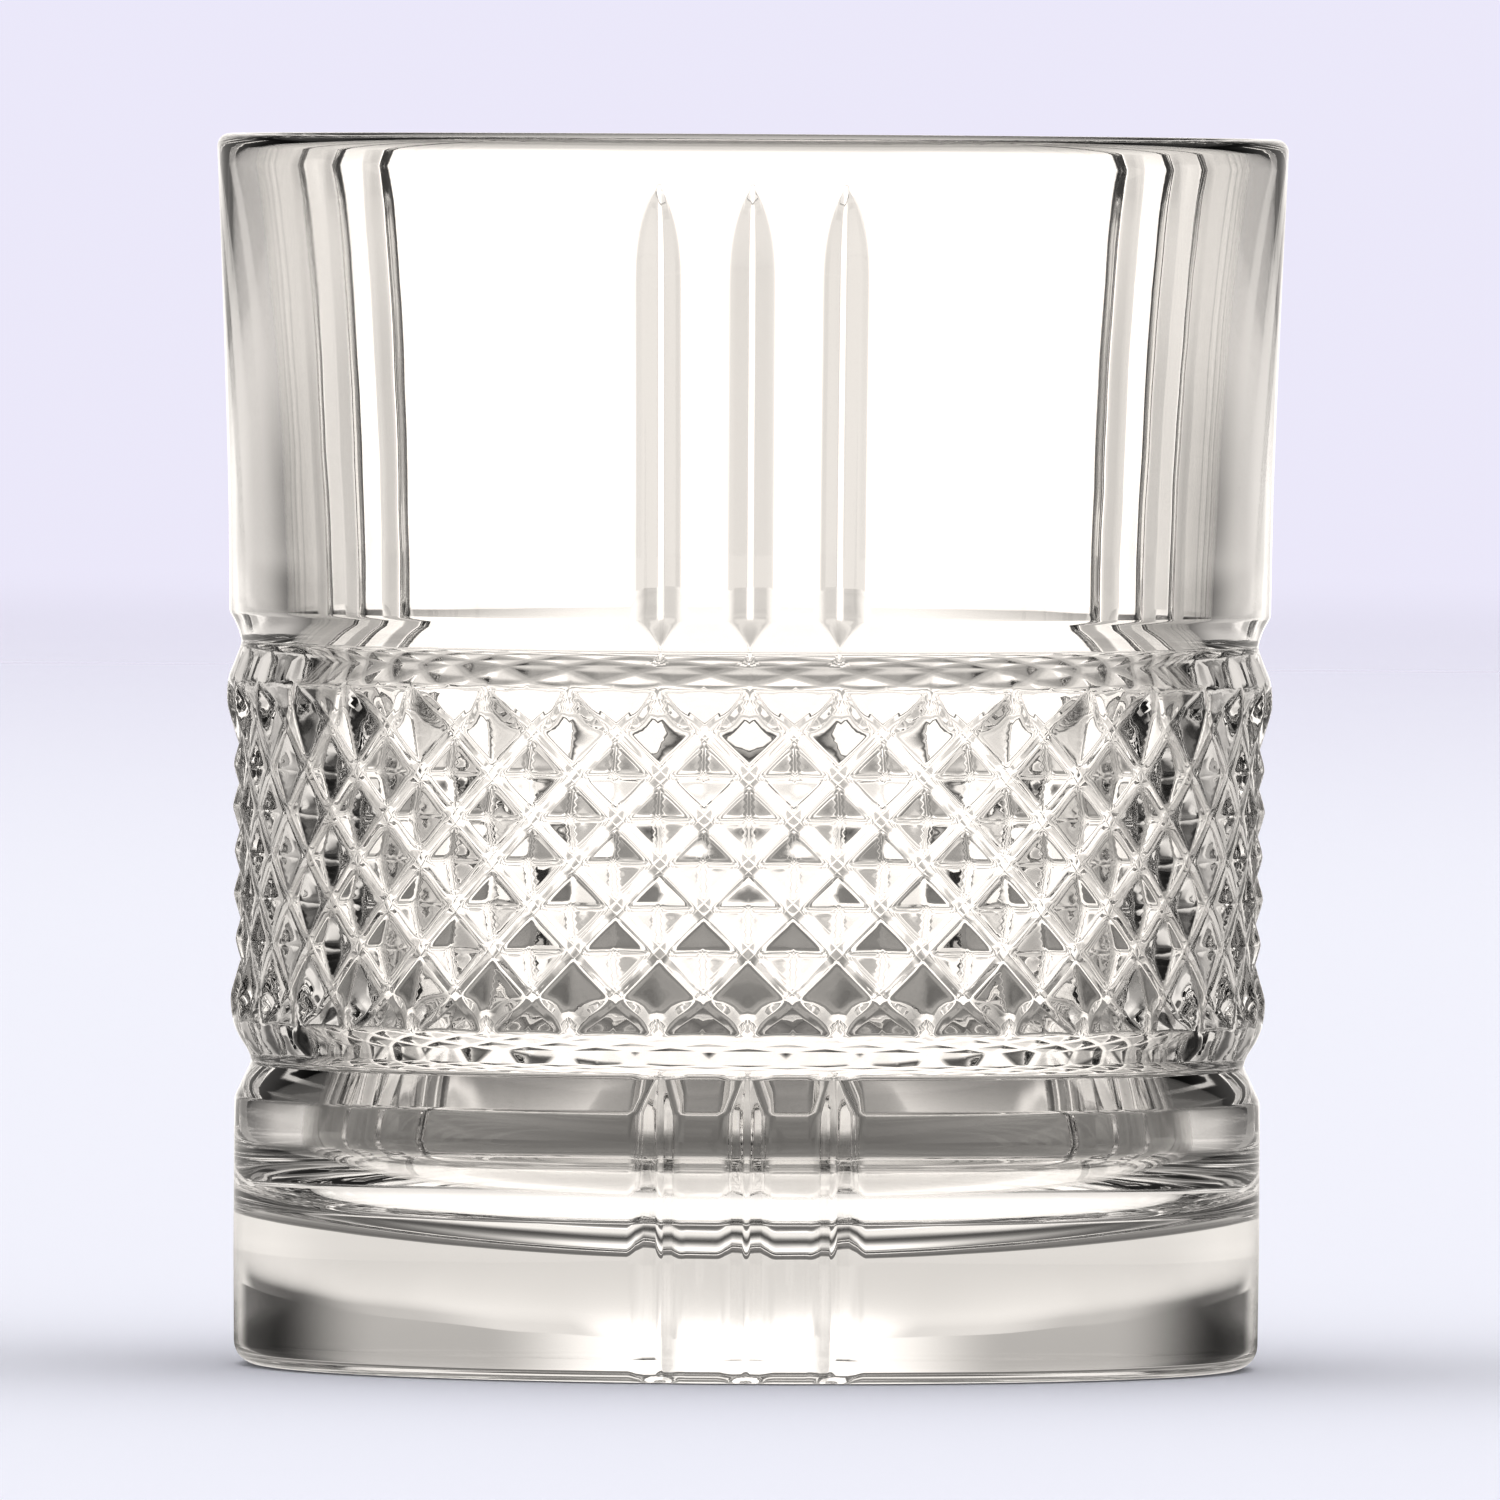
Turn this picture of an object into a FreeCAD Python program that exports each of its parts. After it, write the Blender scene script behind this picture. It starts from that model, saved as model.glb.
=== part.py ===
import FreeCAD, Part

import math
import os

from FreeCAD import Vector

# A whiskey tumbler of pressed glass, all in one piece: a plain flared wall with three groups of
# three V flutes, a pinched neck under it, a belt of pointed diamonds, a second neck, and a heavy
# fluted foot. The origin is the centre of the base, on the plane it stands on, and +Z runs up the
# axis. One group of flutes faces -Y. Millimetres and degrees throughout.

# ---- driving dimensions ------------------------------------------------------------------------
HEIGHT = 93.0  # foot to rim

# foot and base
FOOT_R = 38.78
FOOT_EDGE_R = 1.8  # round between the foot and the base
STAND_IN_R = 27.0  # inner edge of the flat ring the tumbler stands on
KICK = 0.7  # height of the shallow dome pressed into the base
FOOT_TOP_Z = 19.8
CHAMFER_LOW = (38.56, 20.65)  # lower end of the cone above the foot
NECK_LOW = (37.50, 22.90)  # lower neck

# lips and belt envelope (radius, height)
LIP_LOW = (38.32, 24.55)
BULGE_LOW = (39.10, 27.05)
BELT_MID_R = 39.60  # the envelope stands clear of the diamonds here
BULGE_TOP = (39.52, 50.90)
LIP_TOP = (38.98, 53.10)
NECK_TOP = (38.42, 54.60)

# upper wall
CHAMFER_TOP = (39.36, 56.85)  # foot of the plain wall
WALL_LOW = (39.46, 64.5)
WALL_MID = (39.75, 74.0)
WALL_HIGH = (40.12, 83.5)
RIM_R = 40.50
RIM_ROUND = 0.95
RIM_INNER_R = 38.05

# cavity (radius, height)
CAV_TOP = (37.27, 86.5)
CAV_UPPER = (36.27, 78.0)
CAV_WAIST = (35.52, 68.5)
CAV_MID = (35.00, 57.4)
CAV_LOW_R = 33.90  # where the wall meets the corner
CAV_CORNER_R = 6.0
FLOOR_Z = 8.5  # lowest point of the cavity floor, in the middle
DISH = 3.0  # the floor is a shallow dish: this much lower than a flat one under the same corner

# belt of diamonds
DIAMONDS = 36  # round the belt
BELT_TOP_Z = 52.2  # row 0
ROW = 3.34  # from one row of groove crossings to the next
ROWS = 8
GROOVE_R = 38.10  # bottom of the grooves
POINT_R_TOP = 39.25  # tips of the diamonds in row 1 ...
POINT_R_STEP = 0.05  # ... and how much each further row is lower

# flutes
FLUTE_GROUPS = (0.0, 120.0, 240.0)
FLUTE_STEP = 10.0  # one flute over each diamond
WALL_FLUTE_TAN = 1.79  # half width over depth of the V
WALL_FLUTE_DEPTH = 0.94
WALL_FLUTE_RUNOUT = 8.1  # length over which the flute comes up to its pointed tip
WALL_FLUTE_TIP_Z = 89.7
FOOT_FLUTE_TAN = 1.40
OUT_R = 46.0  # cutters reach this far out


def p(r, z):
    return Vector(r, 0, z)


def arc(a, b, c):
    return Part.Arc(p(*a), p(*b), p(*c)).toShape()


def line(a, b):
    return Part.makeLine(p(*a), p(*b))


def polar(r, deg, z):
    t = math.radians(deg)
    # angle 0 faces -Y, and the angle grows anticlockwise seen from above
    return Vector(r * math.sin(t), -r * math.cos(t), z)


def curve(points):
    spline = Part.BSplineCurve()
    spline.interpolate([p(*q) for q in points])
    return spline.toShape()


# ---- the turned blank ---------------------------------------------------------------------------
def wall_r(z):
    """Outer radius of the plain upper wall."""
    t = z - 59.0
    return 39.33 + 0.0205 * max(t, 0.0) + 0.0005 * max(t, 0.0) ** 2


def dome_z(r):
    """Height of the dome in the base, part of a sphere centred on the axis."""
    sphere_r = (STAND_IN_R**2 + KICK**2) / (2 * KICK)
    return KICK - sphere_r + math.sqrt(sphere_r**2 - r**2)


def blank():
    edge_c = FOOT_R - FOOT_EDGE_R
    s = math.sqrt(0.5)
    edges = [
        arc((0, KICK), (STAND_IN_R * 0.5, dome_z(STAND_IN_R * 0.5)), (STAND_IN_R, 0)),
        line((STAND_IN_R, 0), (edge_c, 0)),
        arc(
            (edge_c, 0),
            (edge_c + FOOT_EDGE_R * s, FOOT_EDGE_R * (1 - s)),
            (FOOT_R, FOOT_EDGE_R),
        ),
        line((FOOT_R, FOOT_EDGE_R), (FOOT_R, FOOT_TOP_Z)),
        arc((FOOT_R, FOOT_TOP_Z), (38.715, 20.25), CHAMFER_LOW),
        line(CHAMFER_LOW, NECK_LOW),
        curve(
            [
                NECK_LOW,
                (37.72, 23.60),
                LIP_LOW,
                (38.80, 25.55),
                BULGE_LOW,
                (39.34, 31.0),
                (BELT_MID_R, 39.5),
                (39.62, 46.5),
                BULGE_TOP,
                (39.33, 52.2),
                LIP_TOP,
                (38.56, 54.1),
                NECK_TOP,
            ]
        ),
        arc(NECK_TOP, (38.76, 55.75), CHAMFER_TOP),
        curve([CHAMFER_TOP, WALL_LOW, WALL_MID, WALL_HIGH, (RIM_R, HEIGHT - RIM_ROUND)]),
        arc(
            (RIM_R, HEIGHT - RIM_ROUND),
            (RIM_R - RIM_ROUND * (1 - s), HEIGHT - RIM_ROUND * (1 - s)),
            (RIM_R - RIM_ROUND, HEIGHT),
        ),
        line((RIM_R - RIM_ROUND, HEIGHT), (RIM_INNER_R + RIM_ROUND, HEIGHT)),
        arc(
            (RIM_INNER_R + RIM_ROUND, HEIGHT),
            (RIM_INNER_R + RIM_ROUND * (1 - s), HEIGHT - RIM_ROUND * (1 - s)),
            (RIM_INNER_R, HEIGHT - RIM_ROUND),
        ),
        curve([(RIM_INNER_R, HEIGHT - RIM_ROUND), CAV_TOP, CAV_UPPER, CAV_WAIST, CAV_MID]),
    ]
    # The corner runs smoothly into the dish, which is part of a sphere centred on the axis.
    cx, cz = CAV_LOW_R - CAV_CORNER_R, FLOOR_Z + DISH + CAV_CORNER_R
    drop = cz - FLOOR_Z
    dish_r = (cx**2 + drop**2 - CAV_CORNER_R**2) / (2 * (drop - CAV_CORNER_R))
    touch = math.atan2(cx, FLOOR_Z + dish_r - cz)
    half = (touch + math.pi / 2) / 2
    dish_edge = (dish_r * math.sin(touch), FLOOR_Z + dish_r * (1 - math.cos(touch)))
    edges += [
        line(CAV_MID, (CAV_LOW_R, cz)),
        arc(
            (CAV_LOW_R, cz),
            (cx + CAV_CORNER_R * math.sin(half), cz - CAV_CORNER_R * math.cos(half)),
            dish_edge,
        ),
        arc(
            dish_edge,
            (dish_r * math.sin(touch / 2), FLOOR_Z + dish_r * (1 - math.cos(touch / 2))),
            (0, FLOOR_Z),
        ),
        line((0, FLOOR_Z), (0, KICK)),
    ]
    face = Part.Face(Part.Wire(edges))
    return face.revolve(Vector(0, 0, 0), Vector(0, 0, 1), 360)


# ---- flutes -------------------------------------------------------------------------------------
def v_cutter(stations, tan, deg):
    """A V-shaped cutter: its keel runs through (radius, z) stations, and it opens outwards."""
    t = math.radians(deg)
    out, side = (
        Vector(math.sin(t), -math.cos(t), 0),
        Vector(math.cos(t), math.sin(t), 0),
    )
    rings = []
    for r, z in stations:
        w = (OUT_R - r) * tan
        base = Vector(0, 0, z)
        rings.append(
            [
                base + out * r,
                base + out * OUT_R + side * w,
                base + out * OUT_R - side * w,
            ]
        )
    faces = [Part.Face(Part.makePolygon(r + [r[0]])) for r in (rings[0], rings[-1])]
    for a, b in zip(rings, rings[1:]):
        for i, j in ((0, 1), (1, 2), (2, 0)):
            quad = [a[i], a[j], b[j], b[i], a[i]]
            try:
                faces.append(Part.Face(Part.makePolygon(quad)))
            except Part.OCCError:
                faces.append(Part.Face(Part.makePolygon([a[i], a[j], b[j], a[i]])))
                faces.append(Part.Face(Part.makePolygon([a[i], b[j], b[i], a[i]])))
    shell = Part.makeShell(faces)
    shell.sewShape()
    solid = Part.makeSolid(shell)
    return solid if solid.Volume > 0 else solid.reversed()


def wall_flute(deg):
    stations = [(NECK_TOP[0], NECK_TOP[1] - 0.02), (NECK_TOP[0], CHAMFER_TOP[1])]
    z0 = WALL_FLUTE_TIP_Z - WALL_FLUTE_RUNOUT
    for z in (64.0, 70.0, 76.0, z0):
        stations.append((wall_r(z) - WALL_FLUTE_DEPTH, z))
    n = 7
    for i in range(1, n + 1):
        s = i / n
        z = z0 + WALL_FLUTE_RUNOUT * s
        stations.append((wall_r(z) - WALL_FLUTE_DEPTH * (1 - s**2.8), z))
    r, z = stations[-1]
    stations.append((r + 0.35, z + 1.2))
    return v_cutter(stations, WALL_FLUTE_TAN, deg)


def foot_flute(deg):
    return v_cutter(
        [(NECK_LOW[0], -1.0), (NECK_LOW[0], NECK_LOW[1] + 0.02)], FOOT_FLUTE_TAN, deg
    )


# ---- belt of diamonds ---------------------------------------------------------------------------
def belt_cutter():
    """Everything outside the diamonds: a ring whose inner skin is made of flat facets.

    Groove crossings lie on even rows at whole steps and on odd rows at half steps, and every
    diamond's tip is midway between the crossings on either side of it.
    """
    step = 360.0 / DIAMONDS

    def z(k):
        return BELT_TOP_Z - ROW * k

    def tip(k):
        return POINT_R_TOP - POINT_R_STEP * (k - 1)

    last = ROWS
    over = 42.2  # the skin leaves the glass here
    faces = []

    def tri(a, b, c):
        faces.append(Part.Face(Part.makePolygon([a, b, c, a])))

    def crossing(k, m):
        r = 39.16 if k == 0 else 38.62 if k == last else GROOVE_R
        return polar(r, step * m, z(k))

    for i in range(DIAMONDS):
        # diamonds whose tips are in rows 1 to 7
        for k in range(1, last):
            m = i if k % 2 else i + 0.5
            left, right = crossing(k, m - 0.5), crossing(k, m + 0.5)
            up, down = crossing(k - 1, m), crossing(k + 1, m)
            if k == 1:
                point, crown = (
                    polar(39.30, step * m, z(0.90)),
                    polar(39.50, step * m, z(0.42)),
                )
                tri(up, left, crown)
                tri(up, crown, right)
                tri(crown, left, point)
                tri(crown, point, right)
            else:
                point = polar(
                    tip(k) if k < last - 1 else 38.98,
                    step * m,
                    z(k if k < last - 1 else k + 0.12),
                )
                if k < last - 1:
                    tri(up, left, point)
                    tri(up, point, right)
            if k == last - 1:
                crown = polar(39.10, step * m, z(7.50))
                tri(up, left, point)
                tri(up, point, right)
                tri(point, left, crown)
                tri(point, crown, right)
                tri(crown, left, down)
                tri(crown, down, right)
            else:
                tri(point, left, down)
                tri(point, down, right)
        # half diamonds under the upper lip and over the lower one
        m = i + 0.5
        a, b, c = crossing(0, i), crossing(0, i + 1), crossing(1, m)
        head = polar(39.66, step * m, z(0.16))
        tri(a, head, c)
        tri(head, b, c)
        ta, tb, th = (
            polar(over, step * i, z(-0.9)),
            polar(over, step * (i + 1), z(-0.9)),
            polar(over, step * m, z(-0.9)),
        )
        tri(a, ta, head)
        tri(ta, th, head)
        tri(th, tb, head)
        tri(tb, b, head)
        a, b, c = crossing(last, i), crossing(last, i + 1), crossing(last - 1, m)
        head = polar(39.22, step * m, z(7.84))
        tri(a, c, head)
        tri(head, c, b)
        ua, ub, uh = (
            polar(over, step * i, z(last + 0.9)),
            polar(over, step * (i + 1), z(last + 0.9)),
            polar(over, step * m, z(last + 0.9)),
        )
        tri(a, head, ua)
        tri(ua, head, uh)
        tri(uh, head, ub)
        tri(ub, head, b)
        # the outside of the ring
        oa, ob, oh = (
            polar(OUT_R, step * i, z(-0.9)),
            polar(OUT_R, step * (i + 1), z(-0.9)),
            polar(OUT_R, step * m, z(-0.9)),
        )
        va, vb, vh = (
            polar(OUT_R, step * i, z(last + 0.9)),
            polar(OUT_R, step * (i + 1), z(last + 0.9)),
            polar(OUT_R, step * m, z(last + 0.9)),
        )
        for q in (
            (ta, oa, oh, th),
            (th, oh, ob, tb),
            (ua, uh, vh, va),
            (uh, ub, vb, vh),
            (oa, va, vh, oh),
            (oh, vh, vb, ob),
        ):
            faces.append(Part.Face(Part.makePolygon(list(q) + [q[0]])))
    shell = Part.makeShell(faces)
    shell.sewShape()
    solid = Part.makeSolid(shell)
    return solid if solid.Volume > 0 else solid.reversed()


# ---- the piece ----------------------------------------------------------------------------------
def tumbler():
    body = blank()
    cutters = []
    for group in FLUTE_GROUPS:
        for j in (-1, 0, 1):
            cutters.append(wall_flute(group + FLUTE_STEP * j))
            cutters.append(foot_flute(group + FLUTE_STEP * j))
    body = body.cut(cutters)
    body = body.cut(belt_cutter())
    solids = sorted(body.Solids, key=lambda s: -s.Volume)
    return solids[0]


os.makedirs("parts", exist_ok=True)
shape = tumbler()
assert shape.isValid() and shape.ShapeType == "Solid"
box = shape.BoundBox
print(
    "tumbler: volume %.1f cm3, faces %d, box %.2f x %.2f x %.2f mm"
    % (shape.Volume / 1000, len(shape.Faces), box.XLength, box.YLength, box.ZLength)
)
shape.exportStep("parts/tumbler.step")
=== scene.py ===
import math

import bpy
import numpy as np
from mathutils import Matrix, Vector


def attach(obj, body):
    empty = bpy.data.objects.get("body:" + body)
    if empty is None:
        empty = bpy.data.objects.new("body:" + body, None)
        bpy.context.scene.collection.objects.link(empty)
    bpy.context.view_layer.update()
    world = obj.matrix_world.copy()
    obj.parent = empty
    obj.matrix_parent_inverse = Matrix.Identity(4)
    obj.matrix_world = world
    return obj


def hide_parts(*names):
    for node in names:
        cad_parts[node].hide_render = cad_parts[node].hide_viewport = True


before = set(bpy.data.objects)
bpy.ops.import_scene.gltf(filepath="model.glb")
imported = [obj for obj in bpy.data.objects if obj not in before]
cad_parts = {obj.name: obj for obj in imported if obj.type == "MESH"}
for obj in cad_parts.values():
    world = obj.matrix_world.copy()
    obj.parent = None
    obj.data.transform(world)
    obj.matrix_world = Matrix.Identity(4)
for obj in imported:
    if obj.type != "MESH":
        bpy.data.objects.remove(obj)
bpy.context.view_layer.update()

# =================================================================================================
# The tumbler's shape. Lengths are in millimetres here and become metres when the mesh is made.
# Angle 0 faces -Y and grows anticlockwise seen from above.
# =================================================================================================
DIAMONDS = 36
PITCH = 2 * math.pi / DIAMONDS
BELT_TOP_Z, ROW, ROWS = 52.2, 3.34, 8
HEIGHT = 93.0

# ---- outline of the turned shape, from the middle of the base, up the outside, to the rim, and
# down the inside to the middle of the cavity's floor ---------------------------------------------


def spline(points, n):
    """A smooth curve through the points, as n + 1 samples (natural cubic, by chord length)."""
    pts = np.asarray(points, float)
    t = np.r_[0, np.cumsum(np.hypot(*np.diff(pts, axis=0).T))]
    m = len(pts)
    h = np.diff(t)
    a = np.zeros((m, m))
    b = np.zeros((m, 2))
    a[0, 0] = a[-1, -1] = 1
    for i in range(1, m - 1):
        a[i, i - 1 : i + 2] = h[i - 1], 2 * (h[i - 1] + h[i]), h[i]
        b[i] = 6 * ((pts[i + 1] - pts[i]) / h[i] - (pts[i] - pts[i - 1]) / h[i - 1])
    k = np.linalg.solve(a, b)
    s = np.linspace(0, t[-1], n + 1)
    i = np.clip(np.searchsorted(t, s, side="right") - 1, 0, m - 2)
    u, v, hh = (s - t[i])[:, None], (t[i + 1] - s)[:, None], h[i][:, None]
    return (
        k[i] * v**3 / (6 * hh)
        + k[i + 1] * u**3 / (6 * hh)
        + (pts[i] / hh - k[i] * hh / 6) * v
        + (pts[i + 1] / hh - k[i + 1] * hh / 6) * u
    )


def bow(a, m, b, n=60):
    """A circular arc from a through m to b."""
    (ax, ay), (mx, my), (bx, by) = a, m, b
    d = 2 * (ax * (my - by) + mx * (by - ay) + bx * (ay - my))
    ux = (
        (ax**2 + ay**2) * (my - by)
        + (mx**2 + my**2) * (by - ay)
        + (bx**2 + by**2) * (ay - my)
    ) / d
    uy = (
        (ax**2 + ay**2) * (bx - mx)
        + (mx**2 + my**2) * (ax - bx)
        + (bx**2 + by**2) * (mx - ax)
    ) / d
    r = math.hypot(ax - ux, ay - uy)
    t0, tm, t1 = (math.atan2(y - uy, x - ux) for x, y in (a, m, b))
    if (tm - t0) % (2 * math.pi) > (t1 - t0) % (2 * math.pi):
        t1 = t0 - (t0 - t1) % (2 * math.pi)
    else:
        t1 = t0 + (t1 - t0) % (2 * math.pi)
    t = np.linspace(t0, t1, n + 1)
    return np.c_[ux + r * np.cos(t), uy + r * np.sin(t)]


def straight(a, b, n=2):
    return np.linspace(a, b, n + 1)


S = math.sqrt(0.5)
FOOT_R, FOOT_EDGE, STAND_IN, KICK = 38.78, 1.8, 27.0, 0.7
RIM_R, RIM_ROUND, RIM_IN = 40.50, 0.95, 38.05
CAV_LOW_R, CAV_CORNER, FLOOR_Z = 33.90, 6.0, 8.5
DISH = 3.0  # the middle of the cavity's floor is this much lower than its edge



def cavity_bottom():
    """Corner arc, then a shallow spherical dish that it runs into smoothly."""
    cr, cz = CAV_LOW_R - CAV_CORNER, FLOOR_Z + DISH + CAV_CORNER
    # the dish's radius is such that the corner's circle touches it from inside:
    # (big - small)^2 = cr^2 + (middle_z - cz)^2 with middle_z = FLOOR_Z + big
    k = FLOOR_Z - cz
    big = (CAV_CORNER**2 - cr * cr - k * k) / (2 * (k + CAV_CORNER)) if DISH else 1e6
    t1 = math.atan2(cr, FLOOR_Z + big - cz) if DISH else 0.0  # where they touch, from straight down
    t = np.linspace(math.pi / 2, t1, 60)
    corner = np.c_[cr + CAV_CORNER * np.sin(t), cz - CAV_CORNER * np.cos(t)]
    t = np.linspace(t1, 0, 60)
    dish = (
        np.c_[big * np.sin(t), FLOOR_Z + big - big * np.cos(t)]
        if DISH
        else np.array([[cr, FLOOR_Z], [0, FLOOR_Z]])
    )
    return np.vstack([corner, dish])


LOWER = np.vstack(
    [
        bow((0, KICK), (13.5, 0.525), (STAND_IN, 0)),
        straight((STAND_IN, 0), (FOOT_R - FOOT_EDGE, 0)),
        bow(
            (FOOT_R - FOOT_EDGE, 0),
            (FOOT_R - FOOT_EDGE * (1 - S), FOOT_EDGE * (1 - S)),
            (FOOT_R, FOOT_EDGE),
        ),
        straight((FOOT_R, FOOT_EDGE), (FOOT_R, 19.8)),
        bow((FOOT_R, 19.8), (38.715, 20.25), (38.56, 20.65)),
        straight((38.56, 20.65), (37.50, 22.90)),
    ]
)
BELT = spline(
    [
        (37.50, 22.90),
        (37.72, 23.60),
        (38.32, 24.55),
        (38.80, 25.55),
        (39.10, 27.05),
        (39.14, 29.2),
        (39.34, 32.0),
        (39.60, 39.5),
        (39.62, 43.5),
        (39.40, 48.2),
        (39.52, 50.90),
        (39.33, 52.2),
        (38.98, 53.10),
        (38.56, 54.1),
        (38.42, 54.60),
    ],
    600,
)
UPPER = np.vstack(
    [
        bow((38.42, 54.60), (38.76, 55.75), (39.36, 56.85)),
        spline(
            [
                (39.36, 56.85),
                (39.46, 64.5),
                (39.75, 74.0),
                (40.12, 83.5),
                (RIM_R, HEIGHT - RIM_ROUND),
            ],
            120,
        ),
        bow(
            (RIM_R, HEIGHT - RIM_ROUND),
            (RIM_R - RIM_ROUND * (1 - S), HEIGHT - RIM_ROUND * (1 - S)),
            (RIM_R - RIM_ROUND, HEIGHT),
        ),
        straight((RIM_R - RIM_ROUND, HEIGHT), (RIM_IN + RIM_ROUND, HEIGHT)),
    ]
)
INNER = np.vstack(
    [
        bow(
            (RIM_IN + RIM_ROUND, HEIGHT),
            (RIM_IN + RIM_ROUND * (1 - S), HEIGHT - RIM_ROUND * (1 - S)),
            (RIM_IN, HEIGHT - RIM_ROUND),
        ),
        spline(
            [
                (RIM_IN, HEIGHT - RIM_ROUND),
                (37.27, 86.5),
                (36.27, 78.0),
                (35.52, 68.5),
                (35.00, 57.4),
            ],
            120,
        ),
        straight((35.00, 57.4), (CAV_LOW_R, FLOOR_Z + DISH + CAV_CORNER)),
        cavity_bottom(),
    ]
)

STEP = 0.02  # spacing of the resampled outline
SOFTEN = 0.14  # the outline's corners are rounded at about this scale


def resample(pts):
    keep = np.r_[True, np.hypot(*np.diff(pts, axis=0).T) > 1e-6]
    pts = pts[keep]
    s = np.r_[0, np.cumsum(np.hypot(*np.diff(pts, axis=0).T))]
    n = int(s[-1] / STEP)
    t = np.linspace(0, s[-1], n + 1)
    return np.c_[np.interp(t, s, pts[:, 0]), np.interp(t, s, pts[:, 1])]


def soften(pts, sigma):
    n = int(4 * sigma / STEP)
    w = np.exp(-0.5 * (np.arange(-n, n + 1) * STEP / sigma) ** 2)
    w /= w.sum()
    head = 2 * pts[0] - pts[n:0:-1]
    tail = 2 * pts[-1] - pts[-2 : -n - 2 : -1]
    ext = np.vstack([head, pts, tail])
    return np.c_[
        np.convolve(ext[:, 0], w, "valid"), np.convolve(ext[:, 1], w, "valid")
    ]


OUTLINE = soften(resample(np.vstack([LOWER, BELT, UPPER, INNER])), SOFTEN)
OUT_S = np.r_[0, np.cumsum(np.hypot(*np.diff(OUTLINE, axis=0).T))]
RIM_I = int(np.argmax(OUTLINE[:, 1] > HEIGHT - 0.003))  # where the rim's top begins
RIM_S = OUT_S[RIM_I]


def outline(s):
    s = np.clip(s, 0, OUT_S[-1])
    return np.interp(s, OUT_S, OUTLINE[:, 0]), np.interp(s, OUT_S, OUTLINE[:, 1])


def s_at_z(z):
    """Arc length on the outside at a height above the foot's edge round."""
    i0 = int(np.argmax(OUTLINE[:, 0] > FOOT_R - 0.01))
    return np.interp(z, OUTLINE[i0:RIM_I, 1], OUT_S[i0:RIM_I])


# envelope radius against height, for the belt
_i0 = int(np.argmax(OUTLINE[:, 0] > FOOT_R - 0.01))
ENV_Z, ENV_R = OUTLINE[_i0:RIM_I, 1], OUTLINE[_i0:RIM_I, 0]


def env(z):
    return np.interp(z, ENV_Z, ENV_R)


# ---- reliefs ------------------------------------------------------------------------------------
def smin(a, b, d):
    """The smaller of two, rounded over where they cross by about d."""
    return 0.5 * (a + b - np.sqrt((a - b) ** 2 + 4 * d * d))


def smoothstep(x):
    x = np.clip(x, 0, 1)
    return x * x * (3 - 2 * x)


FLUTES = np.array([g + j for g in (0, 12, 24) for j in (-1, 0, 1)])  # in pitches
WALL_TAN, WALL_DEPTH = 1.79, 0.94
TIP_Z, RUNOUT = 89.7, 8.1
FOOT_TAN, FOOT_KEEL = 0.95, 37.10


def flute_keel(z):
    """Radius of the bottom of the wall's flutes against height, and how much of the V is there."""
    s = np.clip((z - (TIP_Z - RUNOUT)) / RUNOUT, 0, 1.15)
    wall = env(z)
    keel = wall - WALL_DEPTH * (1 - s**2.8)
    return np.where(z < 57.4, 38.425, keel)


def foot_keel(z):
    """The same for the foot, whose flutes fade out at the neck."""
    return FOOT_KEEL + 1.3 * smoothstep((np.asarray(z, dtype=float) - 22.75) / 0.75)


def nearest_flute(u):
    """Signed distance, in pitches, from the nearest flute, and from any whole step otherwise."""
    d = (u[..., None] - FLUTES + DIAMONDS / 2) % DIAMONDS - DIAMONDS / 2
    i = np.abs(d).argmin(-1)
    return np.take_along_axis(d, i[..., None], -1)[..., 0]


def fluted(r, z, u):
    """Outer radius with the flutes cut: r and z on the outline, u the angle in pitches."""
    x = np.abs(nearest_flute(u)) * PITCH * r  # along the surface
    x = np.sqrt(x * x + 0.10**2) - 0.03  # the keel is slightly round
    upper = flute_keel(z) + x / WALL_TAN
    # below, the flutes follow the round of the foot's edge and end on the standing surface
    follow = np.maximum(FOOT_R - FOOT_KEEL - x / FOOT_TAN, 0) * smoothstep((r - 37.0) / 1.2)
    lower = np.where(z < 1.85, r - follow, foot_keel(z) + x / FOOT_TAN)
    out = np.where((z > 54.0) & (z < 91.2), smin(r, upper, 0.035), r)
    return np.where(z < 23.5, smin(r, lower, 0.07), out)


GROOVE_FLAT = 0.47  # half the width of a groove's round bottom
FACET = 0.43  # slope of the diamonds' facets
ACROSS = 4.77  # between one groove and the next parallel one
RIDGE = 0.075  # how round the ridges are

# Height of the rows: they are not quite evenly spaced
_k9 = np.arange(-1, 10)
_dz = [0.0, 0.0, -0.24, -0.20, -0.12, -0.04, -0.04, 0.0, -0.13, 0.0, 0.0]
_kk = np.linspace(-1, 9, 2001)


def eased(values, sigma):
    n = int(4 * sigma / 0.005)
    w = np.exp(-0.5 * (np.arange(-n, n + 1) * 0.005 / sigma) ** 2)
    w /= w.sum()
    return np.convolve(np.r_[[values[0]] * n, values, [values[-1]] * n], w, "valid")


_zk = BELT_TOP_Z - ROW * _kk + eased(np.interp(_kk, _k9, _dz), 0.3)
_zk += (BELT_TOP_Z - np.interp(0.0, _kk, _zk)) * np.clip(1 - _kk / 2, 0, 1)
_zk += (BELT_TOP_Z - ROW * ROWS - np.interp(8.0, _kk, _zk)) * np.clip(_kk / 2 - 3, 0, 1)


def z_of_k(k):
    return np.interp(k, _kk, _zk)


def k_of_z(z):
    return np.interp(z, _zk[::-1], _kk[::-1])


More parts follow.
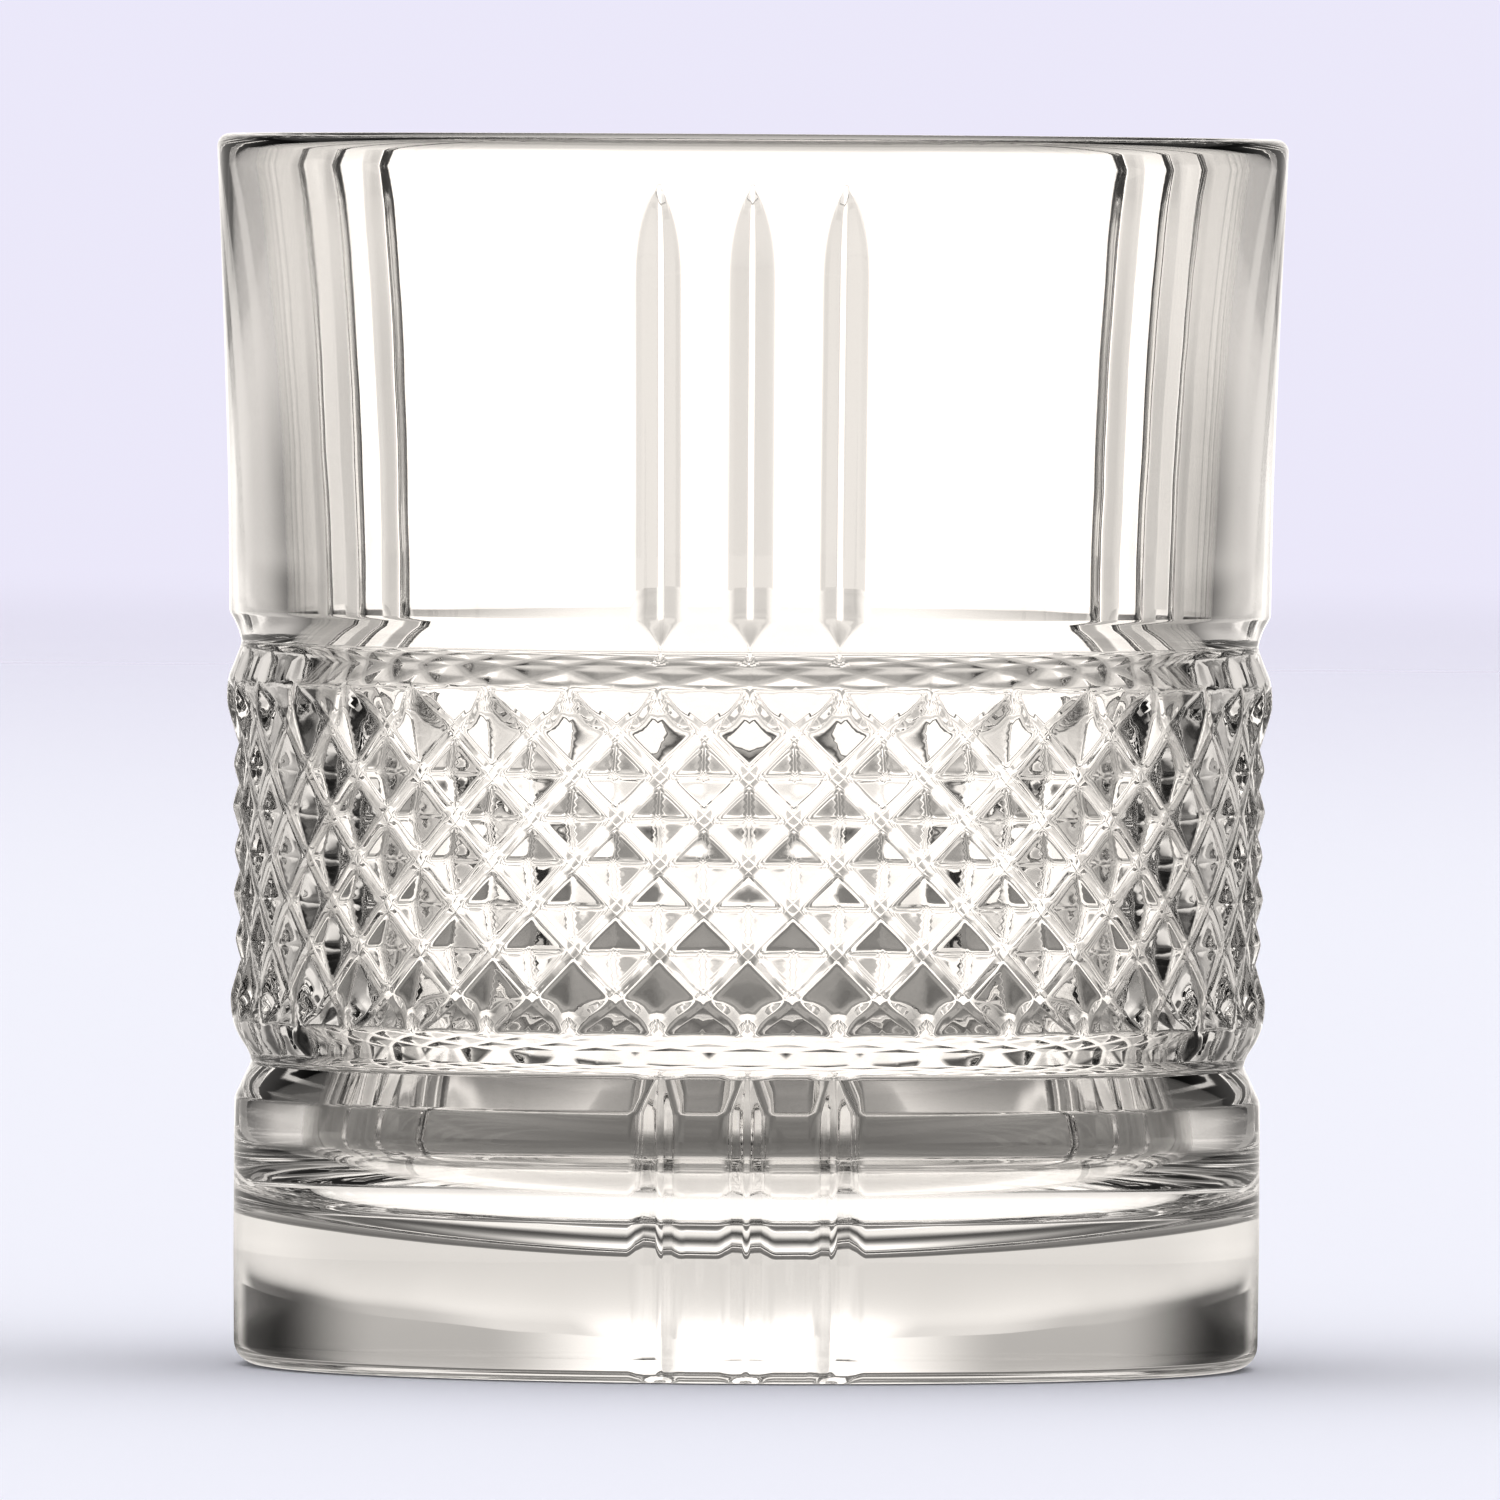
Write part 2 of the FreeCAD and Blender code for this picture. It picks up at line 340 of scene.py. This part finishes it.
# Radius of the bottom of the grooves. They come up through the swelling at each end of the belt.
_fk = eased(
    np.interp(
        _kk,
        [
            *(-0.6, 0.0, 0.17, 0.32, 0.45, 0.555, 0.65, 0.79, 0.95, 1.2, 1.5),
            *(6.5, 6.8, 7.05, 7.21, 7.35, 7.445, 7.55, 7.68, 7.83, 8.0, 8.6),
        ],
        [
            *(39.75, 39.52, 39.42, 39.25, 38.99, 38.79, 38.65, 38.52, 38.46, 38.42, 38.40),
            *(38.14, 38.13, 38.15, 38.19, 38.28, 38.39, 38.57, 38.80, 38.99, 39.05, 39.15),
        ],
    ),
    0.05,
)
# The round bottoms get narrower there
_wk = eased(
    np.interp(
        _kk,
        [0.0, 0.3, 0.6, 0.9, 1.3, 6.8, 7.2, 7.5, 7.8, 8.0],
        [0.15, 0.22, 0.33, 0.43, GROOVE_FLAT, GROOVE_FLAT, 0.40, 0.30, 0.20, 0.15],
    ),
    0.05,
)


def flank(k, d):
    """Radius of a groove's side at d mm from its middle, at row k of its middle."""
    flat = np.interp(k, _kk, _wk)
    e = d - flat
    rise = 0.5 * (e + np.sqrt(e * e + 0.01)) - 0.5 * (np.sqrt(flat * flat + 0.01) - flat)
    return np.interp(k, _kk, _fk) + FACET * rise


def belt(u, k):
    """Outer radius in the belt: u is the angle in pitches and k the row, 0 at the top."""
    a, b = u + 0.5 * k, u - 0.5 * k
    na, nb = np.floor(a), np.floor(b)
    one = smin(
        flank(na - b, (a - na) * ACROSS),
        flank(na + 1 - b, (na + 1 - a) * ACROSS),
        RIDGE,
    )
    two = smin(
        flank(a - nb, (b - nb) * ACROSS),
        flank(a - nb - 1, (nb + 1 - b) * ACROSS),
        RIDGE,
    )
    land = smin(one, two, RIDGE) + 0.03
    e = env(z_of_k(k))
    cut = e - smin(e, land, 0.03)
    fade = smoothstep((k + 0.30) / 0.30) * smoothstep((ROWS + 0.30 - k) / 0.30)
    return e - cut * fade


# ---- the mesh -----------------------------------------------------------------------------------
PART = np.array([0, 0.05, 0.10, 0.17, 0.25, 0.33, 0.42, 0.5])
PART = np.r_[PART, 1 - PART[-2:0:-1]]  # 14 columns to a pitch
N = len(PART)
COLS = DIAMONDS * N
U = (np.arange(DIAMONDS)[:, None] + PART).ravel()  # columns, in pitches


def coord(i):
    return np.floor_divide(i, N) + PART[np.mod(i, N)]


def point(r, z, u):
    t = u * PITCH
    return np.stack([r * np.sin(t), -r * np.cos(t), z + 0 * t], -1)


def outer_surface(s, u):
    r, z = outline(s)
    r = r + 0 * u
    z = z + 0 * u
    inner = s > RIM_S
    k = k_of_z(z)
    rr = fluted(r, z, u)
    near = (k > -0.32) & (k < ROWS + 0.32)
    rr = np.where(near, belt(u, k), rr)
    return point(np.where(inner, r, rr), z, u)


def belt_surface(k, u):
    return point(belt(u, k), z_of_k(k), u)


def normals(f, p, u, dp):
    du = 0.002
    a = f(p, u + du) - f(p, u - du)
    b = f(p + dp, u) - f(p - dp, u)
    n = np.cross(a, b)
    return n / np.maximum(np.linalg.norm(n, axis=-1, keepdims=True), 1e-12)


verts, norms, faces = [], [], []
count = 0


def add(points, normal):
    global count
    start = count
    verts.append(points.reshape(-1, 3))
    norms.append(normal.reshape(-1, 3))
    count += points.reshape(-1, 3).shape[0]
    return start


def rows_between(s0, s1, longest, turn, extra=None):
    """Positions along the outline from s0 to s1: no step longer than longest or turning more than turn."""
    s = np.arange(s0, s1 + STEP / 2, STEP)
    s[-1] = s1
    r, z = outline(s)
    ang = np.unwrap(np.arctan2(np.gradient(z, s), np.gradient(r, s)))
    rate = 1.0 / longest + np.abs(np.gradient(ang, s)) / math.radians(turn)
    if extra is not None:
        rate = rate + extra(z)
    c = np.r_[0, np.cumsum(0.5 * (rate[1:] + rate[:-1]) * np.diff(s))]
    n = max(1, int(math.ceil(c[-1])))
    return np.interp(np.linspace(0, c[-1], n + 1), c, s)


def warped(z):
    """Columns at one height. Those over a flute close in on it where it narrows."""
    u = U.copy()
    if 54.0 < z < 91.5:
        w = (env(z) - flute_keel(np.array(z))) * WALL_TAN / (PITCH * env(z)) / 0.25
    elif z < 23.5:
        w = (env(max(z, 1.9)) - FOOT_KEEL) * FOOT_TAN / (PITCH * FOOT_R) / 0.25
    else:
        w = 1.0
    w = float(np.clip(w, 0.16, 1.12))
    if 53.0 < z <= 54.7:
        w = 0.16 + 0.84 * (1 - smoothstep(np.array((z - 53.0) / 1.6)))
    if 89.4 < z:
        w = max(w, float(0.16 + 0.84 * smoothstep(np.array((z - 89.4) / 1.6))))
    if 22.8 < z < 25.0:
        w = max(0.16, float(smoothstep(np.array((z - 22.8) / 1.6))))
    d = nearest_flute(U)
    near = np.abs(d) <= 0.2501
    u[near] = (U - d + d * w)[near]
    return u


def ring(s):
    r, z = outline(np.array(s))
    u = warped(float(z)) if s < RIM_S else U
    s = np.full(COLS, s)
    return add(outer_surface(s, u), normals(outer_surface, s, u, 0.015))


def quads(a, b, n, flip=False):
    i = np.arange(n)
    j = (i + 1) % n
    q = np.c_[a + i, a + j, b + j, b + i]
    faces.extend((q[:, ::-1] if flip else q).tolist())


s_k8, s_k0 = (
    float(s_at_z(BELT_TOP_Z - ROW * ROWS)),
    float(s_at_z(BELT_TOP_Z)),
)

# from the middle of the base to the lower edge of the belt
low_rows = rows_between(8.0, s_k8, 9.0, 11.0)
rings = [ring(s) for s in low_rows[:-1]]
base_mid = add(
    np.array([[0.0, 0.0, outline(np.array(0.0))[1]]]), np.array([[0.0, 0.0, -1.0]])
)
i = np.arange(COLS)
faces.extend(np.c_[np.full(COLS, base_mid), rings[0] + (i + 1) % COLS, rings[0] + i].tolist())
for a, b in zip(rings, rings[1:]):
    quads(a, b, COLS)

# the belt, on a net that runs along its grooves
D = ROWS * N
j, d = np.meshgrid(np.arange(COLS), np.arange(D + 1), indexing="ij")
ca, cb = coord(j + d), coord(j)
bu, bk = 0.5 * (ca + cb), ca - cb
belt0 = add(belt_surface(bk, bu), normals(lambda k, u: -belt_surface(k, u), bk, bu, 0.004) * -1.0)


def bi(i, j):
    return belt0 + (j % COLS) * (D + 1) + (i - j)


for dd in range(0, D + 1):
    j = np.arange(COLS)
    i = j + dd
    if dd == 0:
        faces.extend(np.c_[bi(i, j), bi(i + 1, j), bi(i + 1, j + 1)].tolist())
        continue
    if dd == D:
        faces.extend(np.c_[bi(i, j), bi(i + 1, j + 1), bi(i, j + 1)].tolist())
        continue
    v0, v1, v2, v3 = bi(i, j), bi(i + 1, j), bi(i + 1, j + 1), bi(i, j + 1)
    up = (i % N + j % N) == N - 1
    faces.extend(np.c_[v0, v1, v3][up].tolist())
    faces.extend(np.c_[v1, v2, v3][up].tolist())
    faces.extend(np.c_[v0, v1, v2][~up].tolist())
    faces.extend(np.c_[v0, v2, v3][~up].tolist())

# the lower edge of the belt meets the last ring below it. On that edge a = b + 8 rows, so the
# vertex over column c is the one with j = c - 4 pitches
c = np.arange(COLS)
edge_low = belt0 + ((c - ROWS // 2 * N) % COLS) * (D + 1) + D
edge_top = belt0 + c * (D + 1)
c1 = (c + 1) % COLS
faces.extend(np.c_[rings[-1] + c, rings[-1] + c1, edge_low[c1], edge_low[c]].tolist())


# from the upper edge of the belt to the rim
def tip_detail(z):
    return np.where((z > 80.5) & (z < 91.0), 1.25, 0.0) + np.where(
        (z > 54.2) & (z < 57.2), 1.2, 0.0
    )


up_rows = rows_between(s_k0, RIM_S, 6.0, 11.0, tip_detail)
rings = [ring(s) for s in up_rows[1:]]
faces.extend(np.c_[edge_top[c], edge_top[c1], rings[0] + c1, rings[0] + c].tolist())
for a, b in zip(rings, rings[1:]):
    quads(a, b, COLS)


# over the rim and down the inside, on fewer columns
def inner_ring(s, cols):
    u = U[cols]
    s = np.full(len(u), s)
    return add(outer_surface(s, u), normals(outer_surface, s, u, 0.015))


def reduce(a, cols_a, b, cols_b):
    """Joins a ring to one with every other column."""
    n = len(cols_a)
    m = len(cols_b)
    for q in range(m):
        a0, a1, a2 = a + 2 * q, a + (2 * q + 1) % n, a + (2 * q + 2) % n
        b0, b1 = b + q, b + (q + 1) % m
        faces.append([a0, a1, b0])
        faces.append([a1, b1, b0])
        faces.append([a1, a2, b1])


s_end = OUT_S[-1] - 6.0
in_rows = rows_between(RIM_S, s_end, 4.0, 9.0)
all_cols = np.arange(COLS)
half, quarter = all_cols[::2], all_cols[::4]
prev, prev_cols = rings[-1], all_cols
for n_row, s in enumerate(in_rows[1:]):
    cols = all_cols if n_row < 3 else half if n_row < 9 else quarter
    cur = inner_ring(s, cols)
    if len(cols) == len(prev_cols):
        quads(prev, cur, len(cols))
    else:
        reduce(prev, prev_cols, cur, cols)
    prev, prev_cols = cur, cols
floor_mid = add(
    np.array([[0.0, 0.0, outline(np.array(OUT_S[-1]))[1]]]), np.array([[0.0, 0.0, 1.0]])
)
n = len(prev_cols)
i = np.arange(n)
faces.extend(np.c_[prev + i, prev + (i + 1) % n, np.full(n, floor_mid)].tolist())

V = np.vstack(verts) * 0.001
NRM = np.vstack(norms)

mesh = bpy.data.meshes.new("tumbler_glass")
mesh.from_pydata(V.tolist(), [], faces)
mesh.validate(clean_customdata=False)
mesh.polygons.foreach_set("use_smooth", [True] * len(mesh.polygons))
mesh.update()

# every normal points the same way as its vertex's faces
flat = np.empty(len(mesh.vertices) * 3)
mesh.vertices.foreach_get("normal", flat)
flat = flat.reshape(-1, 3)
agree = np.einsum("ij,ij->i", flat, NRM)
NRM[agree < 0] *= -1
bad = np.abs(agree) < 0.5
NRM[bad] = flat[bad]
mesh.normals_split_custom_set_from_vertices(NRM.tolist())

glass = bpy.data.objects.new("tumbler_glass", mesh)
bpy.context.scene.collection.objects.link(glass)

# =================================================================================================
# Glass
# =================================================================================================
mat = bpy.data.materials.new("clear_pressed_glass")
mat.use_nodes = True
nt = mat.node_tree
nt.nodes.clear()
out = nt.nodes.new("ShaderNodeOutputMaterial")
bsdf = nt.nodes.new("ShaderNodeBsdfPrincipled")
bsdf.inputs["Base Color"].default_value = (1.0, 0.995, 0.988, 1)
bsdf.inputs["IOR"].default_value = 1.52
bsdf.inputs["Transmission Weight"].default_value = 1.0
nt.links.new(bsdf.outputs["BSDF"], out.inputs["Surface"])

coords = nt.nodes.new("ShaderNodeTexCoord")
waves = nt.nodes.new("ShaderNodeTexNoise")
waves.inputs["Scale"].default_value = 70.0
waves.inputs["Detail"].default_value = 1.5
waves.inputs["Roughness"].default_value = 0.4
polish = nt.nodes.new("ShaderNodeTexNoise")
polish.inputs["Scale"].default_value = 45.0
haze = nt.nodes.new("ShaderNodeMapRange")
haze.inputs["From Min"].default_value = 0.4
haze.inputs["From Max"].default_value = 0.7
haze.inputs["To Min"].default_value = 0.0
haze.inputs["To Max"].default_value = 0.03
nt.links.new(coords.outputs["Object"], polish.inputs["Vector"])
nt.links.new(polish.outputs["Fac"], haze.inputs["Value"])
nt.links.new(haze.outputs["Result"], bsdf.inputs["Roughness"])
bump = nt.nodes.new("ShaderNodeBump")
bump.inputs["Strength"].default_value = 0.06
bump.inputs["Distance"].default_value = 0.0006
nt.links.new(coords.outputs["Object"], waves.inputs["Vector"])
nt.links.new(waves.outputs["Fac"], bump.inputs["Height"])
nt.links.new(bump.outputs["Normal"], bsdf.inputs["Normal"])
mesh.materials.append(mat)

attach(glass, "root")
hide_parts("tumbler")

# =================================================================================================
# Floor, light and camera
# =================================================================================================
fm = bpy.data.meshes.new("floor")
SEG, FR = 96, 4.0
fv = [(0, 0, 0)]
ff = []
radii = [0.08, 0.2, 0.5, 1.2, 2.4, FR]
for r in radii:
    fv += [
        (r * math.cos(2 * math.pi * q / SEG), r * math.sin(2 * math.pi * q / SEG), 0)
        for q in range(SEG)
    ]
for q in range(SEG):
    ff.append((0, 1 + q, 1 + (q + 1) % SEG))
    for m in range(len(radii) - 1):
        a, b = 1 + m * SEG, 1 + (m + 1) * SEG
        ff.append((a + q, b + q, b + (q + 1) % SEG, a + (q + 1) % SEG))
fm.from_pydata([(x, y, -0.00005) for x, y, z in fv], [], ff)
floor = bpy.data.objects.new("floor", fm)
bpy.context.scene.collection.objects.link(floor)

R = math.radians
WARM = (("Red", 1.0), ("Green", 0.973), ("Blue", 0.945))


class Net:
    """Small helpers to write a node network as sums."""

    def __init__(self, tree):
        self.t = tree

    def put(self, socket, v):
        if isinstance(v, (int, float)):
            socket.default_value = v
        else:
            self.t.links.new(v, socket)

    def op(self, kind, *args):
        nd = self.t.nodes.new("ShaderNodeMath")
        nd.operation = kind
        for i, v in enumerate(args):
            self.put(nd.inputs[i], v)
        return nd.outputs[0]

    def ramp(self, value, lo, hi, a=0.0, b=1.0):
        nd = self.t.nodes.new("ShaderNodeMapRange")
        nd.interpolation_type = "SMOOTHSTEP"
        self.put(nd.inputs["Value"], value)
        for name, v in (("From Min", lo), ("From Max", hi), ("To Min", a), ("To Max", b)):
            nd.inputs[name].default_value = v
        return nd.outputs["Result"]

    def blend(self, f, a, b):
        nd = self.t.nodes.new("ShaderNodeMix")
        nd.data_type = "FLOAT"
        self.put(nd.inputs["Factor"], f)
        self.put(nd.inputs["A"], a)
        self.put(nd.inputs["B"], b)
        return nd.outputs["Result"]

    def colour(self, value):
        nd = self.t.nodes.new("ShaderNodeCombineColor")
        for name, f in WARM:
            self.t.links.new(self.op("MULTIPLY", value, f), nd.inputs[name])
        return nd.outputs["Color"]

    def painted_panel_glow(self, x, y):
        """Painted light: how bright the far floor's glow is round about, in the shape of bright studio
        panels, and 0 to 1 for inside one of its panels.
        """
        turn = self.op("ARCTAN2", self.op("ABSOLUTE", x), self.op("ABSOLUTE", y))
        behind = self.ramp(y, -0.001, 0.001)
        core = self.ramp(turn, R(8), R(13), 1.42, 0.90)
        core = self.op("MULTIPLY", core, self.ramp(turn, R(18), R(29), 1.0, 0.80))
        back = self.ramp(turn, R(33), R(54), 1.0, 0.0)
        side = self.ramp(turn, R(66), R(75))
        ahead = self.blend(behind, 0.85, core)
        inside = self.op("MAXIMUM", back, side)
        painted_glow_level = self.blend(self.ramp(turn, R(52), R(60)), ahead, 1.08)
        return self.blend(inside, 0.16, painted_glow_level), inside

    def walls(self, x, y):
        """How bright the studio's walls are: dim only to either side of the back one."""
        turn = self.op("ARCTAN2", self.op("ABSOLUTE", x), self.op("ABSOLUTE", y))
        behind = self.ramp(y, -0.001, 0.001)
        back = self.ramp(turn, R(8), R(22), 1.22, 0.66)
        back = self.op("MULTIPLY", back, self.ramp(turn, R(34), R(60), 1.0, 0.03))
        back = self.blend(self.ramp(turn, R(72), R(82)), back, 1.2)
        front = self.ramp(turn, R(28), R(42), 0.35, 1.1)
        return self.blend(behind, front, back)


fmat = bpy.data.materials.new("floor_paper_painted_glow")
fmat.use_nodes = True
ft = fmat.node_tree
fb = ft.nodes["Principled BSDF"]
fb.inputs["Base Color"].default_value = (0.80, 0.825, 0.905, 1)
fb.inputs["Roughness"].default_value = 0.9
fb.inputs["Specular IOR Level"].default_value = 0.1
fnet = Net(ft)
ftr = ft.nodes.new("ShaderNodeBsdfTransparent")
fmix = ft.nodes.new("ShaderNodeMixShader")
fgeo = ft.nodes.new("ShaderNodeNewGeometry")
flen = ft.nodes.new("ShaderNodeVectorMath")
flen.operation = "LENGTH"
fsep = ft.nodes.new("ShaderNodeSeparateXYZ")
ft.links.new(fgeo.outputs["Position"], flen.inputs[0])
ft.links.new(fgeo.outputs["Position"], fsep.inputs[0])
far = flen.outputs["Value"]
ft.links.new(fnet.ramp(far, 1.2, 3.8), fmix.inputs["Fac"])
ft.links.new(fb.outputs["BSDF"], fmix.inputs[1])
ft.links.new(ftr.outputs["BSDF"], fmix.inputs[2])
# what the glass shows of the floor is a painted glow, not the lit paper: a painted shadow close to the
# tumbler, dimmed as if it stood in its own shadow there, and as bright as the studio further off
fx, fy, fz = fsep.outputs
# painted light: bright panels in the glow the glass shows of the floor
around, inside = fnet.painted_panel_glow(fx, fy)
# painted shadow: a ramp on the distance from the tumbler that sets the floor's glow, dark round the foot
step = ft.nodes.new("ShaderNodeValToRGB")
lnr = fnet.op("LOGARITHM", fnet.op("MAXIMUM", far, 0.02), math.e)
ft.links.new(
    fnet.ramp(lnr, math.log(0.02), math.log(2.0)), step.inputs["Fac"]
)
for nd in ft.nodes:
    if nd.bl_idname == "ShaderNodeMapRange" and nd.outputs[0].links:
        if nd.outputs[0].links[0].to_node == step:
            nd.interpolation_type = "LINEAR"
# painted light and shadow against distance: bright under the tumbler, a painted shadow round its foot,
# full brightness further off
painted_glow_stops = [(0.02, 1.15), (0.035, 1.15), (0.045, 0.36), (0.064, 0.26), (0.09, 0.36)]
painted_glow_stops += [(0.14, 0.54), (0.25, 0.78), (0.5, 0.98), (1.0, 1.04)]
cr = step.color_ramp
cr.interpolation = "LINEAR"
while len(cr.elements) < len(painted_glow_stops):
    cr.elements.new(0.5)
for e, (r, v) in zip(cr.elements, painted_glow_stops):
    e.position = (math.log(r) - math.log(0.02)) / (math.log(2.0) - math.log(0.02))
for e, (r, v) in zip(cr.elements, painted_glow_stops):
    e.color = (v, v, v, 1)
painted_open_glow = fnet.blend(fnet.ramp(far, 0.07, 0.12), step.outputs["Color"], 0.92)
painted_near_glow = fnet.blend(inside, painted_open_glow, step.outputs["Color"])
painted_glow_level = fnet.blend(fnet.ramp(far, 0.3, 0.9), painted_near_glow, around)
# the floor glows with this painted light and shadow, though it is no lamp
painted_floor_glow = ft.nodes.new("ShaderNodeEmission")
ft.links.new(fnet.colour(painted_glow_level), painted_floor_glow.inputs["Color"])
# camera rays and diffuse bounces see the lit paper; rays the glass bends or mirrors see the painted glow
fpath = ft.nodes.new("ShaderNodeLightPath")
direct = fnet.op(
    "MAXIMUM", fpath.outputs["Is Camera Ray"], fpath.outputs["Is Diffuse Ray"]
)
fpick = ft.nodes.new("ShaderNodeMixShader")
ft.links.new(direct, fpick.inputs["Fac"])
ft.links.new(painted_floor_glow.outputs["Emission"], fpick.inputs[1])
ft.links.new(fmix.outputs["Shader"], fpick.inputs[2])
ft.links.new(fpick.outputs["Shader"], ft.nodes["Material Output"].inputs["Surface"])
fm.materials.append(fmat)

# world: a bright panel behind the tumbler from each of the four sides, dim between the panels,
# and soft light overhead
world = bpy.data.worlds.new("studio")
bpy.context.scene.world = world
world.use_nodes = True
wt = world.node_tree
wt.nodes.clear()
wout = wt.nodes.new("ShaderNodeOutputWorld")
bg = wt.nodes.new("ShaderNodeBackground")
wt.links.new(bg.outputs["Background"], wout.inputs["Surface"])
tc = wt.nodes.new("ShaderNodeTexCoord")
sep = wt.nodes.new("ShaderNodeSeparateXYZ")
wt.links.new(tc.outputs["Generated"], sep.inputs["Vector"])
wnet = Net(wt)
X, Y, Z = sep.outputs
around = wnet.walls(X, Y)
el = wnet.op("ARCSINE", Z)
tall = wnet.ramp(el, R(15), R(25), 1.0, 0.0)
high = wnet.ramp(el, R(24), R(31), 0.16, 1.0)
high = wnet.op("MULTIPLY", high, wnet.ramp(el, R(38), R(48), 1.0, 0.25))
value = wnet.blend(tall, high, around)
seen = wt.nodes.new("ShaderNodeLightPath")
# light for the paper, and for what the glass shows and mirrors
soft = wnet.ramp(el, R(-10), R(90), 0.89, 1.48)
value = wnet.blend(seen.outputs["Is Diffuse Ray"], value, soft)
mixc = wt.nodes.new("ShaderNodeMix")
mixc.data_type = "RGBA"
wt.links.new(seen.outputs["Is Camera Ray"], mixc.inputs["Factor"])
wt.links.new(wnet.colour(value), mixc.inputs["A"])
mixc.inputs["B"].default_value = (0.893, 0.877, 0.972, 1)
wt.links.new(mixc.outputs["Result"], bg.inputs["Color"])

# camera: a long lens 2.9 m away, a little above the rim
scene = bpy.context.scene
cam_data = bpy.data.cameras.new("camera")
cam = bpy.data.objects.new("camera", cam_data)
scene.collection.objects.link(cam)
DIST, CAM_Z = 2.9, 0.106
WIDTH = 1500 / 13.228 * 0.001  # what the frame takes in at the tumbler's axis
cam_data.sensor_width = 36.0
cam_data.lens = 36.0 * DIST / WIDTH
cam_data.clip_start, cam_data.clip_end = 0.1, 50.0
cam_data.dof.use_dof = False
cam.location = (0.0, -DIST, CAM_Z)
AIM_Z = 0.0466
look = Vector((0.00005, 0.0, AIM_Z)) - cam.location
q = look.to_track_quat("-Z", "Y")
roll = Matrix.Rotation(math.radians(0.36), 4, "Z")
cam.matrix_world = Matrix.Translation(cam.location) @ q.to_matrix().to_4x4() @ roll
scene.camera = cam
scene.view_settings.view_transform = "Standard"
scene.view_settings.gamma = 0.62  # the contrast of a product picture
scene.cycles.max_bounces = 24
scene.cycles.transmission_bounces = 24
scene.cycles.glossy_bounces = 8

bpy.context.view_layer.update()
